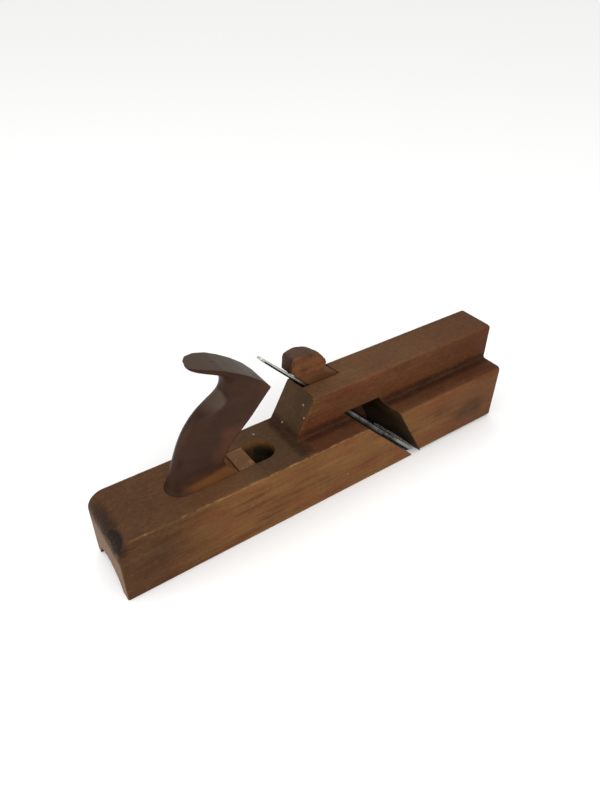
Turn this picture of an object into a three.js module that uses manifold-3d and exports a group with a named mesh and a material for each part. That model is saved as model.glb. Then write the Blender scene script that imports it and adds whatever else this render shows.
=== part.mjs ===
// Handled wooden moulding plane with a hollow sole, as an assembly of its loose pieces.
// Millimetres. The origin is on the ground under the middle of the plane.
// +X runs from the heel to the toe, +Z is up and +Y is the left side, the closed one.
//
// Drawing coordinates: x is measured from the heel, y from the right (open) side and z from
// the sole. The outer group moves them to the part's own origin.
import * as THREE from 'three';
import { ConvexGeometry } from 'three/addons/geometries/ConvexGeometry.js';
import { mergeVertices } from 'three/addons/utils/BufferGeometryUtils.js';
import Module from 'manifold-3d';

// ---- Driving dimensions -------------------------------------------------------------------

const CLEARANCE = 0.3;            // gap between pieces that bear on each other
const OVERCUT = 2;                // how far a cutter runs past the face it opens
const CURVE_STEPS = 24;           // straight pieces in each curve of an outline

// Stock: the wooden body.
const STOCK_LENGTH = 330;
const STOCK_WIDTH = 51;
const DECK_HEIGHT = 50.8;         // rear deck, and the ledge beside the upper part
const STOCK_HEIGHT = 81;          // top of the upper part
const LEDGE_WIDTH = 18;           // ledge on the right of the upper part
const STEP_FOOT = 138.5;          // heel to the foot of the leaning rear face of the upper part
const STEP_LEAN = 27;             // degrees that face leans forward from upright
const HEEL_RADIUS = 12;           // rounding over the heel's top edge

// Sole: two flat shoulders with a round hollow between them.
const RIGHT_SHOULDER = 8;
const LEFT_SHOULDER = 4.8;
const HOLLOW_DROP = 4.4;          // how far the centre of the hollow's arc lies below the sole

// Bed: the slope that the iron lies on. It meets the sole at the bed foot.
const BED_FOOT = 240;             // heel to the bed foot, on the right side
const BED_ANGLE = 45.5;           // degrees from the sole
const BED_SKEW = 8;               // degrees that the bed turns back towards the left side
const CHEEK = 3.6;                // wood left standing on the closed side

// Escapement: the open throat on the right side that lets the shavings out.
const MOUTH_LENGTH = 8.6;         // along the sole, from the bed foot
const THROAT_ANGLE = 60.5;        // degrees of the throat's front wall from the sole
const THROAT_HEIGHT = 57.5;       // roof of the throat inside the upper part
const WEAR_START = 2;             // from the right side to where the wear starts to grow
const WEAR_HEIGHT = 19;           // top of the wear, the wood that closes the mouth inside
const WEAR_GAP = 0.6;             // between the iron and the wear, at the sole
const WEAR_TOP_GAP = 1.2;         // between them at the top of the wear

// Mortise: the slot that holds the tang and the wedge.
const MORTISE_WIDTH = 12.7;
const MORTISE_OPENING = 22.6;     // from the bed to the front wall, square to the bed, at the top
const WEDGE_TAPER = 12;           // degrees between the bed and the mortise's front wall

// Iron: a broad blade that follows the sole, with shoulders and a narrow tang.
const IRON_THICKNESS = 4.7;       // at the cutting edge
const IRON_END_THICKNESS = 2;     // at the top of the tang
const IRON_LENGTH = 156;
const IRON_SET_BACK = 1;          // how far the edge stands inside the sole, along the bed
const IRON_INSET = 2;             // from the right side of the stock to the blade
const BLADE_LENGTH = 49;          // along the blade's right side, from the edge to the shoulder
const SHOULDER_RISE = 20;         // how much further up the tang begins
const TANG_WIDTH = 11;            // at the shoulders
const TANG_END_WIDTH = 4.6;
const TANG_END_RADIUS = 1.2;
const BEVEL_ANGLE = 30;           // degrees of the ground bevel

// Wedge: along the bed from the bed foot, and out from the bed.
const WEDGE_POINT = 28;           // how far up the bed its lower end stops
const WEDGE_POINT_LENGTH = 17;    // length of the cut that thins the lower end
const WEDGE_POINT_THICKNESS = 2;
const WEDGE_SIDE_PLAY = 0.7;      // between the wedge and the mortise's right wall
const WEDGE_NECK_RISE = 13.1;     // along the bed, from the mortise's front edge to the notch
const WEDGE_NECK_THICKNESS = 14.5;
const WEDGE_HEAD_LENGTH = 32.5;   // from the notch to the end of the head
const WEDGE_HEAD_THICKNESS = 23;
const WEDGE_HEAD_CHAMFER = 8;     // worn corner where the head's end meets the iron
// The head is a lopsided dome: shares of its length and of its thickness, from the notch.
const WEDGE_HEAD_DOME = [[0.08, 0.93], [0.4, 1.2], [0.93, 0.85], [1, 0.37]];

// Tote: the handle, let into a round-ended slot in the deck.
const SLOT_HEEL_END = 43.7;       // heel to the near end of the slot
const SLOT_TOE_END = 124;
const SLOT_WIDTH = 20.6;
const SLOT_DEPTH = 16;
const TOTE_FOOT_LENGTH = 47.5;
const TOTE_HEIGHT = 89.2;         // deck to the top of the horn
const TOTE_REACH = 78.3;          // from the slot's heel end to the foremost corner of the grip
const GRIP_TOE_FOOT = 30.8;       // from there to the toe side of the grip, at the deck
const TOTE_ROUNDING = 2;          // rounding of the grip's long edges
const TOTE_ROUNDING_STEPS = 3;
// The grip in side view, as distances from the slot's heel end and above the deck. The heel side
// swells into the palm and runs in to a neck under the horn.
const GRIP_HEEL_SIDE = [
  [0.3, 0], [6.8, 23.2], [13.3, 37.7], [23.8, 50.2], [36.3, 56.7], [42.8, 62.7], [43.3, 69.7],
  [37.3, 75.7], [26.3, 80.4], [23.3, 84.7], [26.3, 88.2],
];
const GRIP_TOP = [
  [26.3, 88.2], [34.3, 86.6], [44.3, 81.5], [55.3, 75.2], [64.3, 68.5], [71.8, 60.6], [76.8, 52.2],
];
const FILLER_LENGTH = 12.9;       // block in front of the tote's foot

// ---- Values worked out from them ----------------------------------------------------------

const radians = THREE.MathUtils.degToRad;
const bedCos = Math.cos(radians(BED_ANGLE));
const bedSin = Math.sin(radians(BED_ANGLE));
const skew = Math.tan(radians(BED_SKEW));
const stepTop = STEP_FOOT + (STOCK_HEIGHT - DECK_HEIGHT) * Math.tan(radians(STEP_LEAN));
const mortiseLeft = STOCK_WIDTH - CHEEK;
const mortiseRight = mortiseLeft - MORTISE_WIDTH;
const mortiseTop = (STOCK_HEIGHT - MORTISE_OPENING * bedCos) / bedSin;
const ironEnd = IRON_SET_BACK + IRON_LENGTH;
const ironOut = CLEARANCE + IRON_THICKNESS;   // from the bed to the iron's upper face, at the edge
const wedgeNeck = mortiseTop + WEDGE_NECK_RISE;
const slotCentre = STOCK_WIDTH / 2;
const slotFloor = DECK_HEIGHT - SLOT_DEPTH;
const footWidth = SLOT_WIDTH - 2 * CLEARANCE;
const footHeelEnd = SLOT_HEEL_END + CLEARANCE;
const footToeEnd = footHeelEnd + TOTE_FOOT_LENGTH;

// The hollow is an arc from shoulder to shoulder.
const hollowHalf = (STOCK_WIDTH - RIGHT_SHOULDER - LEFT_SHOULDER) / 2;
const hollowCentreY = RIGHT_SHOULDER + hollowHalf;
const hollowRadius = Math.hypot(hollowHalf, HOLLOW_DROP);
const hollowStart = Math.asin(HOLLOW_DROP / hollowRadius);

// ---- Solids -------------------------------------------------------------------------------

const wasm = await Module();
wasm.setup();

function solidOf(geometry) {
  const bare = geometry.clone();
  bare.deleteAttribute('normal');
  bare.deleteAttribute('uv');
  const merged = mergeVertices(bare);
  return new wasm.Manifold(new wasm.Mesh({
    numProp: 3,
    vertProperties: new Float32Array(merged.getAttribute('position').array),
    triVerts: new Uint32Array(merged.getIndex().array),
  }));
}

function geometryOf(solid) {
  const mesh = solid.getMesh();
  const geometry = new THREE.BufferGeometry();
  geometry.setAttribute('position', new THREE.BufferAttribute(mesh.vertProperties, 3));
  geometry.setIndex(new THREE.BufferAttribute(mesh.triVerts, 1));
  const flat = geometry.toNonIndexed();
  flat.computeVertexNormals();
  return flat;
}

function shapeThrough(points) {
  return new THREE.Shape(points.map(([a, b]) => new THREE.Vector2(a, b)));
}

// A side-view outline in x and z, made solid from y = from to y = to. A skewed one leans
// towards the heel as y grows, as the bed does.
function across(shape, from, to, lean = 0, options = {}) {
  const geometry = new THREE.ExtrudeGeometry(shape, {
    depth: to - from, bevelEnabled: false, curveSegments: CURVE_STEPS, ...options,
  });
  geometry.applyMatrix4(new THREE.Matrix4().set(
    1, 0, lean, -lean * to,
    0, 0, -1, to,
    0, 1, 0, 0,
    0, 0, 0, 1,
  ));
  return solidOf(geometry);
}

// An end-view outline in y and z, made solid from x = from to x = to.
function along(shape, from, to) {
  const geometry = new THREE.ExtrudeGeometry(shape, {
    depth: to - from, bevelEnabled: false, curveSegments: CURVE_STEPS,
  });
  geometry.applyMatrix4(new THREE.Matrix4().set(
    0, 0, 1, from,
    1, 0, 0, 0,
    0, 1, 0, 0,
    0, 0, 0, 1,
  ));
  return solidOf(geometry);
}

// A plan-view outline in x and y, made solid from z = from to z = to.
function upright(shape, from, to) {
  const geometry = new THREE.ExtrudeGeometry(shape, {
    depth: to - from, bevelEnabled: false, curveSegments: CURVE_STEPS,
  });
  geometry.translate(0, 0, from);
  return solidOf(geometry);
}

function block(low, high) {
  const size = high.map((value, axis) => value - low[axis]);
  const middle = high.map((value, axis) => (value + low[axis]) / 2);
  return solidOf(new THREE.BoxGeometry(...size).translate(...middle));
}

// The side-view point that lies s up the bed and h out from it, on the right side of the stock.
function bedPoint(s, h) {
  return [BED_FOOT - s * bedCos + h * bedSin, s * bedSin + h * bedCos];
}

// An outline in y and s, drawn on the bed and made solid from h = from to h = to. Its upper
// face is moved down the bed by slide.
function onBed(shape, from, to, slide = 0) {
  const geometry = new THREE.ExtrudeGeometry(shape, {
    depth: 1, bevelEnabled: false, curveSegments: CURVE_STEPS,
  });
  const widthways = new THREE.Vector3(-skew, 1, 0);
  const upBed = new THREE.Vector3(-bedCos, 0, bedSin);
  const outwards = new THREE.Vector3(bedSin, 0, bedCos);
  const depthways = outwards.clone().multiplyScalar(to - from).addScaledVector(upBed, -slide);
  const origin = new THREE.Vector3(BED_FOOT, 0, 0).addScaledVector(outwards, from);
  geometry.applyMatrix4(new THREE.Matrix4().makeBasis(widthways, upBed, depthways)
    .setPosition(origin));
  return solidOf(geometry);
}

// ---- Stock --------------------------------------------------------------------------------

function stockOutline() {
  const shape = new THREE.Shape();
  shape.moveTo(0, 0);
  shape.lineTo(STOCK_LENGTH, 0);
  shape.lineTo(STOCK_LENGTH, STOCK_HEIGHT);
  shape.lineTo(stepTop, STOCK_HEIGHT);
  shape.lineTo(STEP_FOOT, DECK_HEIGHT);
  shape.lineTo(HEEL_RADIUS, DECK_HEIGHT);
  shape.absarc(HEEL_RADIUS, DECK_HEIGHT - HEEL_RADIUS, HEEL_RADIUS, Math.PI / 2, Math.PI);
  shape.lineTo(0, 0);
  return shape;
}

function hollowCutter() {
  const shape = new THREE.Shape();
  shape.absarc(hollowCentreY, -HOLLOW_DROP, hollowRadius, 0, Math.PI * 2);
  return along(shape, -OVERCUT, STOCK_LENGTH + OVERCUT);
}

// The throat's front wall at height z, on the right side.
function throatWall(z) {
  return BED_FOOT + MOUTH_LENGTH - z / Math.tan(radians(THROAT_ANGLE));
}

// The wear swells out of the throat's front wall, from nothing near the right side to almost
// touching the iron over the hollow.
function makeWear() {
  const facing = (z, h) => bedPoint((z - h * bedCos) / bedSin, h);
  const toe = throatWall(-OVERCUT) + OVERCUT;
  const top = facing(WEAR_HEIGHT, ironOut + WEAR_TOP_GAP);
  const shelf = (throatWall(0) - top[0]) * Math.tan(radians(THROAT_ANGLE));
  const full = [
    facing(-OVERCUT, ironOut + WEAR_GAP), top, [top[0], shelf],
    [toe, shelf], [toe, -OVERCUT],
  ];
  const none = [
    [throatWall(-OVERCUT), -OVERCUT], [throatWall(shelf), shelf], [toe, shelf], [toe, -OVERCUT],
  ];
  const sections = [[WEAR_START, none], [hollowCentreY, full], [STOCK_WIDTH, full]];
  return solidOf(new ConvexGeometry(sections.flatMap(([y, section]) => section.map(
    ([x, z]) => new THREE.Vector3(x - y * skew, y, z),
  ))));
}

function throatCutter() {
  const shape = shapeThrough([
    bedPoint(-OVERCUT / bedSin, 0),
    [throatWall(-OVERCUT), -OVERCUT],
    [throatWall(THROAT_HEIGHT), THROAT_HEIGHT],
    bedPoint(THROAT_HEIGHT / bedSin, 0),
  ]);
  return across(shape, -OVERCUT, mortiseLeft, skew).subtract(makeWear());
}

// How far the mortise's front wall stands out from the bed, s up the bed.
function mortiseDepth(s) {
  return MORTISE_OPENING - (mortiseTop - s) * Math.tan(radians(WEDGE_TAPER));
}

function mortiseCutter() {
  const low = THROAT_HEIGHT / bedSin - OVERCUT;
  const high = (STOCK_HEIGHT + OVERCUT) / bedSin;
  const shape = shapeThrough([
    bedPoint(low - MORTISE_OPENING, 0),
    bedPoint(low - MORTISE_OPENING, mortiseDepth(low - MORTISE_OPENING)),
    bedPoint(high, mortiseDepth(high)),
    bedPoint(high, 0),
  ]);
  return across(shape, mortiseRight, mortiseLeft, skew);
}

// A long plan-view outline on the middle of the deck, with a round end wherever one is asked for.
function slotOutline(from, to, width, roundToe) {
  const half = width / 2;
  const shape = new THREE.Shape();
  shape.absarc(from + half, slotCentre, half, Math.PI / 2, Math.PI * 1.5);
  if (roundToe) {
    shape.absarc(to - half, slotCentre, half, -Math.PI / 2, Math.PI / 2);
  } else {
    shape.lineTo(to, slotCentre - half);
    shape.lineTo(to, slotCentre + half);
  }
  return shape;
}

function makeStock() {
  const ledge = block(
    [STEP_FOOT - OVERCUT, -OVERCUT, DECK_HEIGHT],
    [STOCK_LENGTH + OVERCUT, LEDGE_WIDTH, STOCK_HEIGHT + OVERCUT],
  );
  const slot = slotOutline(SLOT_HEEL_END, SLOT_TOE_END, SLOT_WIDTH, true);
  return across(stockOutline(), 0, STOCK_WIDTH)
    .subtract(ledge)
    .subtract(hollowCutter())
    .subtract(throatCutter())
    .subtract(mortiseCutter())
    .subtract(upright(slot, slotFloor, DECK_HEIGHT + OVERCUT));
}

// ---- Tote and the block in front of it ----------------------------------------------------

function gripOutline() {
  const curveThrough = (points, steps) => new THREE.SplineCurve(points.map(
    ([x, z]) => new THREE.Vector2(SLOT_HEEL_END + x, DECK_HEIGHT + z),
  )).getPoints(steps);
  const footLow = slotFloor + CLEARANCE + TOTE_ROUNDING;
  const gripToe = SLOT_HEEL_END + GRIP_TOE_FOOT;
  const shape = new THREE.Shape();
  shape.setFromPoints([
    ...curveThrough(GRIP_HEEL_SIDE, 2 * CURVE_STEPS),
    ...curveThrough(GRIP_TOP, CURVE_STEPS).slice(1),
    new THREE.Vector2(gripToe, DECK_HEIGHT),
    new THREE.Vector2(gripToe, footLow),
    new THREE.Vector2(footHeelEnd, footLow),
  ]);
  return shape;
}

function makeTote() {
  const foot = upright(
    slotOutline(footHeelEnd, footToeEnd, footWidth, false), slotFloor + CLEARANCE, DECK_HEIGHT,
  );
  const roundEnds = upright(
    slotOutline(footHeelEnd, SLOT_HEEL_END + TOTE_REACH, footWidth, true),
    0, DECK_HEIGHT + TOTE_HEIGHT,
  );
  const grip = across(
    gripOutline(),
    slotCentre - footWidth / 2 + TOTE_ROUNDING,
    slotCentre + footWidth / 2 - TOTE_ROUNDING,
    0,
    {
      bevelEnabled: true,
      bevelThickness: TOTE_ROUNDING,
      bevelSize: TOTE_ROUNDING,
      bevelOffset: -TOTE_ROUNDING,
      bevelSegments: TOTE_ROUNDING_STEPS,
    },
  );
  return grip.intersect(roundEnds).add(foot);
}

function makeFiller() {
  const start = footToeEnd + CLEARANCE;
  return block(
    [start, slotCentre - footWidth / 2, slotFloor + CLEARANCE],
    [start + FILLER_LENGTH, slotCentre + footWidth / 2, DECK_HEIGHT],
  );
}

// ---- Iron ---------------------------------------------------------------------------------

// The blade, shoulders and tang, drawn on the bed. The lower edge repeats the sole.
function ironOutline(edge, end) {
  const right = IRON_INSET;
  const left = mortiseLeft - CLEARANCE;
  const shoulder = IRON_SET_BACK + BLADE_LENGTH;
  const tangMiddle = left - TANG_WIDTH / 2;
  const endLeft = tangMiddle + TANG_END_WIDTH / 2;
  const endRight = tangMiddle - TANG_END_WIDTH / 2;
  const round = end - TANG_END_RADIUS;
  const shape = new THREE.Shape();
  shape.moveTo(right, edge);
  shape.lineTo(RIGHT_SHOULDER, edge);
  shape.absellipse(
    hollowCentreY, edge - HOLLOW_DROP / bedSin, hollowRadius, hollowRadius / bedSin,
    Math.PI - hollowStart, hollowStart, true, 0,
  );
  shape.lineTo(left, edge);
  shape.lineTo(left, shoulder + SHOULDER_RISE);
  shape.absarc(endLeft - TANG_END_RADIUS, round, TANG_END_RADIUS, 0, Math.PI / 2);
  shape.absarc(endRight + TANG_END_RADIUS, round, TANG_END_RADIUS, Math.PI / 2, Math.PI);
  shape.lineTo(tangMiddle - TANG_WIDTH / 2, shoulder + SHOULDER_RISE);
  shape.lineTo(right, shoulder);
  return shape;
}

// How far the iron's upper face stands out from the bed, s up the bed: it thins towards the tang.
function ironFace(s) {
  const thinning = (IRON_THICKNESS - IRON_END_THICKNESS) / IRON_LENGTH;
  return ironOut - (s - IRON_SET_BACK) * thinning;
}

// The bevel is ground on the face that lies on the bed.
function makeIron() {
  const bevelLength = IRON_THICKNESS / Math.tan(radians(BEVEL_ANGLE));
  const middle = IRON_SET_BACK + BLADE_LENGTH / 2;
  const ground = onBed(
    ironOutline(IRON_SET_BACK + bevelLength, ironEnd + 2 * bevelLength), CLEARANCE, ironOut,
    bevelLength,
  );
  const rest = onBed(
    shapeThrough([
      [0, middle], [STOCK_WIDTH, middle], [STOCK_WIDTH, ironEnd + OVERCUT], [0, ironEnd + OVERCUT],
    ]),
    0, ironOut + OVERCUT,
  );
  const thinned = across(
    shapeThrough([
      bedPoint(0, 0), bedPoint(0, ironFace(0)),
      bedPoint(ironEnd + OVERCUT, ironFace(ironEnd + OVERCUT)), bedPoint(ironEnd + OVERCUT, 0),
    ]),
    0, STOCK_WIDTH, skew,
  );
  return onBed(ironOutline(IRON_SET_BACK, ironEnd), CLEARANCE, ironOut)
    .intersect(ground.add(rest))
    .intersect(thinned);
}

// ---- Wedge --------------------------------------------------------------------------------

function wedgeOutline() {
  const seat = (s) => ironFace(s) + CLEARANCE;
  const front = (s) => mortiseDepth(s) - CLEARANCE / Math.cos(radians(WEDGE_TAPER));
  const headEnd = wedgeNeck + WEDGE_HEAD_LENGTH;
  const dome = new THREE.CubicBezierCurve(...WEDGE_HEAD_DOME.map(([up, out]) => (
    new THREE.Vector2(
      wedgeNeck + up * WEDGE_HEAD_LENGTH, seat(headEnd) + out * WEDGE_HEAD_THICKNESS,
    )
  ))).getPoints(CURVE_STEPS / 2).map((point) => point.toArray());
  return shapeThrough([
    [WEDGE_POINT, seat(WEDGE_POINT)],
    [WEDGE_POINT, seat(WEDGE_POINT) + WEDGE_POINT_THICKNESS],
    [WEDGE_POINT + WEDGE_POINT_LENGTH, front(WEDGE_POINT + WEDGE_POINT_LENGTH)],
    [mortiseTop, front(mortiseTop)],
    [wedgeNeck, seat(wedgeNeck) + WEDGE_NECK_THICKNESS],
    ...dome,
    [headEnd - WEDGE_HEAD_CHAMFER, seat(headEnd - WEDGE_HEAD_CHAMFER)],
  ].map(([s, h]) => bedPoint(s, h)));
}

function makeWedge() {
  return across(
    wedgeOutline(), mortiseRight + WEDGE_SIDE_PLAY, mortiseLeft - CLEARANCE, skew,
  );
}

// ---- Assembly -----------------------------------------------------------------------------

function material(color, roughness, metalness = 0) {
  return new THREE.MeshStandardMaterial({ color, roughness, metalness });
}

const pieces = [
  ['stock', makeStock(), material(0x6b4630, 0.6)],
  ['tote', makeTote(), material(0x4a2f28, 0.45)],
  ['tote_slot_filler', makeFiller(), material(0x7d5a3c, 0.65)],
  ['iron', makeIron(), material(0x6f716c, 0.4, 0.9)],
  ['wedge', makeWedge(), material(0x7a4a2b, 0.65)],
];

const plane = new THREE.Group();
plane.position.set(-STOCK_LENGTH / 2, -STOCK_WIDTH / 2, 0);
for (const [name, solid, finish] of pieces) {
  const mesh = new THREE.Mesh(geometryOf(solid), finish);
  mesh.name = name;
  plane.add(mesh);
}

const assembly = new THREE.Group();
assembly.add(plane);

export default assembly;
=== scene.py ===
"""Handled wooden moulding plane: its finished pieces, their finishes, the floor, the light and the camera.

Everything is in metres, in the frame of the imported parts: +X from the heel to the toe, +Y to the
closed left side, +Z up from the sole. Sizes in the classes are in millimetres, with x measured
from the heel and z from the sole, because that is how the plane is drawn.
"""

import logging
import math
from collections.abc import Callable, Mapping, Sequence
from dataclasses import dataclass, field
from enum import Enum
from typing import Any

import bmesh
import bpy
from mathutils import Matrix, Vector, noise


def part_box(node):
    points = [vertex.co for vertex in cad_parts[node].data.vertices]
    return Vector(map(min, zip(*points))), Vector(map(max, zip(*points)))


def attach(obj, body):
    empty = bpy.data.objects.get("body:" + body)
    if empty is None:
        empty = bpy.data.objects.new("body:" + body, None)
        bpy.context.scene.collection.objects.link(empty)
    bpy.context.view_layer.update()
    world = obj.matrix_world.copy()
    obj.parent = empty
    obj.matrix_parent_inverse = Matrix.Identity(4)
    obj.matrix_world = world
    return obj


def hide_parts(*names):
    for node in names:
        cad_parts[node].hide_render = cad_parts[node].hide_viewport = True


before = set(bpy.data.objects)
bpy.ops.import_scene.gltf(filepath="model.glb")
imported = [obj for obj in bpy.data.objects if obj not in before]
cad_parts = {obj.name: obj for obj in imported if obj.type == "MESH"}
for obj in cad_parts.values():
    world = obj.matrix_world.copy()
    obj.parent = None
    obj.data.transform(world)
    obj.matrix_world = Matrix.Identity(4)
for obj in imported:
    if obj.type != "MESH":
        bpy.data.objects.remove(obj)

LOG = logging.getLogger("moulding_plane")
MM = 0.001

# Angles between two faces, in degrees: below the first they are one flat face, past the second
# the edge between them is rounded, and past the third a finished edge still looks crisp.
FLAT_TURN = 0.6
SHARP_TURN = 25.0
CRISP_TURN = 40.0

# Distances in millimetres within which two points are one, and a point lies on a plane.
SAME_POINT = 0.02
ON_PLANE = 0.01

# Height of the rear deck and of the right ledge above the sole, in millimetres.
DECK = 50.8

STOCK_LOW, STOCK_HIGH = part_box("stock")
STOCK_LENGTH = (STOCK_HIGH.x - STOCK_LOW.x) / MM
STOCK_WIDTH = (STOCK_HIGH.y - STOCK_LOW.y) / MM
STOCK_HEIGHT = (STOCK_HIGH.z - STOCK_LOW.z) / MM

Colour = tuple[float, float, float]
Place = tuple[float, float, float]
Stretch = tuple[float, float]


def tone(code: str) -> Colour:
    """Turns a hex colour into linear light.

    Args:
        code: Six hex digits, such as "6b4630".

    Returns:
        Red, green and blue between 0 and 1.
    """
    parts = [int(code[i : i + 2], 16) / 255 for i in (0, 2, 4)]
    return tuple(p / 12.92 if p <= 0.04045 else ((p + 0.055) / 1.055) ** 2.4 for p in parts)


def place(x: float, y: float, z: float) -> Vector:
    """Turns a drawing point into a point of the frame.

    Args:
        x: Millimetres from the heel.
        y: Millimetres from the open right side.
        z: Millimetres up from the sole.

    Returns:
        The point in metres.
    """
    return Vector((STOCK_LOW.x + x * MM, STOCK_LOW.y + y * MM, STOCK_LOW.z + z * MM))


# ---- Shader building ----------------------------------------------------------------------


class Link:
    """A value that comes out of a node. The usual operators add Math nodes."""

    def __init__(self, tree: "Tree", socket: bpy.types.NodeSocket) -> None:
        """Keeps the node tree and the socket."""
        self.tree = tree
        self.socket = socket

    def _math(self, operation: str, *values: "Link | float") -> "Link":
        """Adds one Math node and returns its result."""
        return self.tree.node(
            "ShaderNodeMath", {"operation": operation}, dict(enumerate(values))
        )

    def __add__(self, other: "Link | float") -> "Link":
        """Adds."""
        return self._math("ADD", self, other)

    __radd__ = __add__

    def __mul__(self, other: "Link | float") -> "Link":
        """Multiplies."""
        return self._math("MULTIPLY", self, other)

    __rmul__ = __mul__

    def __sub__(self, other: "Link | float") -> "Link":
        """Subtracts."""
        return self._math("SUBTRACT", self, other)

    def __rsub__(self, other: float) -> "Link":
        """Subtracts this from a number."""
        return self._math("SUBTRACT", other, self)

    def __truediv__(self, other: "Link | float") -> "Link":
        """Divides."""
        return self._math("DIVIDE", self, other)

    def __pow__(self, other: float) -> "Link":
        """Raises to a power."""
        return self._math("POWER", self, other)

    def __neg__(self) -> "Link":
        """Changes the sign."""
        return self._math("MULTIPLY", self, -1.0)

    def __abs__(self) -> "Link":
        """Drops the sign."""
        return self._math("ABSOLUTE", self)

    def least(self, other: "Link | float") -> "Link":
        """Returns the smaller of the two."""
        return self._math("MINIMUM", self, other)

    def most(self, other: "Link | float") -> "Link":
        """Returns the larger of the two."""
        return self._math("MAXIMUM", self, other)

    def step(self, low: float, high: float) -> "Link":
        """Rises smoothly from 0 at low to 1 at high, or falls if low is the larger.

        Args:
            low: Value that gives 0.
            high: Value that gives 1.

        Returns:
            The smooth step.
        """
        first, last, start, end = (low, high, 0.0, 1.0) if low < high else (high, low, 1.0, 0.0)
        return self.tree.node(
            "ShaderNodeMapRange",
            {"interpolation_type": "SMOOTHSTEP"},
            {0: self, 1: first, 2: last, 3: start, 4: end},
        )


class Tree:
    """A node tree, with one method for any node."""

    def __init__(self, tree: bpy.types.NodeTree) -> None:
        """Keeps the tree."""
        self.tree = tree

    def node(
        self,
        kind: str,
        settings: Mapping[str, Any] | None = None,
        values: Mapping[int | str, Any] | None = None,
        output: int | str = 0,
    ) -> Link:
        """Adds a node.

        Args:
            kind: The node's type.
            settings: Properties of the node, set first.
            values: Numbers, colours or links for its inputs, by index or name.
            output: Which output to return.

        Returns:
            The output as a link.
        """
        new = self.tree.nodes.new(kind)
        for key, value in (settings or {}).items():
            setattr(new, key, value)
        for key, value in (values or {}).items():
            if isinstance(value, Link):
                self.tree.links.new(value.socket, new.inputs[key])
            else:
                new.inputs[key].default_value = value
        return Link(self, new.outputs[output])

    def split(self, vector: Link) -> list[Link]:
        """Returns the x, y and z of a vector."""
        first = self.node("ShaderNodeSeparateXYZ", values={0: vector})
        return [Link(self, out) for out in first.socket.node.outputs]

    def join(self, x: Link | float, y: Link | float, z: Link | float) -> Link:
        """Makes a vector of three values."""
        return self.node("ShaderNodeCombineXYZ", values={0: x, 1: y, 2: z})

    def feed(self, value: Link | float | Sequence[float], socket: bpy.types.NodeSocket) -> None:
        """Links a value to a socket, or sets it there if it is a plain number or colour.

        Args:
            value: The link, number or colour.
            socket: The input that takes it.
        """
        if isinstance(value, Link):
            self.tree.links.new(value.socket, socket)
        else:
            socket.default_value = value


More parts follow.
